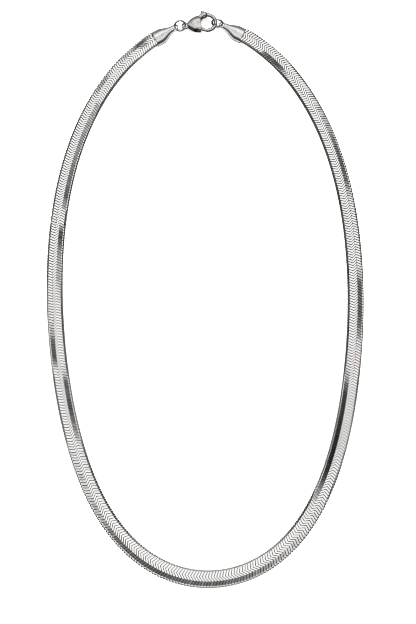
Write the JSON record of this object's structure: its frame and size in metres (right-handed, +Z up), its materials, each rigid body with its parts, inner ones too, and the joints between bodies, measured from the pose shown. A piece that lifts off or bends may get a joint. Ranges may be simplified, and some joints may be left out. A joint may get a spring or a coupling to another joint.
{
  "type": "herringbone chain necklace",
  "caption": "Flat herringbone chain necklace lying closed in a long oval, with an end cap at each end, jump rings and a lobster clasp whose lever opens.",
  "frame": {"origin": "on the surface that the necklace lies on, below the middle of its width and length", "axes": "+X across the loop, +Y along the loop towards the clasp, +Z up from the surface"},
  "size_m": [0.1023, 0.1922, 0.0041],
  "materials": {
    "band": "polished links",
    "caps": "polished",
    "rings": "polished",
    "clasp": "polished",
    "pin": "satin",
    "lever": "polished"
  },
  "bodies": {
    "root": {"chain_band": "band", "end_cap_left": "caps", "end_cap_right": "caps", "jump_ring_left": "rings", "jump_ring_right": "rings", "clasp_body": "clasp", "clasp_pin": "pin"},
    "lever": {"clasp_lever": "lever"}
  },
  "joints": [
    {"name": "clasp_lever_swing", "type": "hinge", "parent": "root", "child": "lever", "pos_m": [-0.00084, 0.09075, 0.0015], "axis": [0, 0, 1], "range_deg": [0, 20], "stiffness_Nm_per_rad": 0.001}
  ]
}
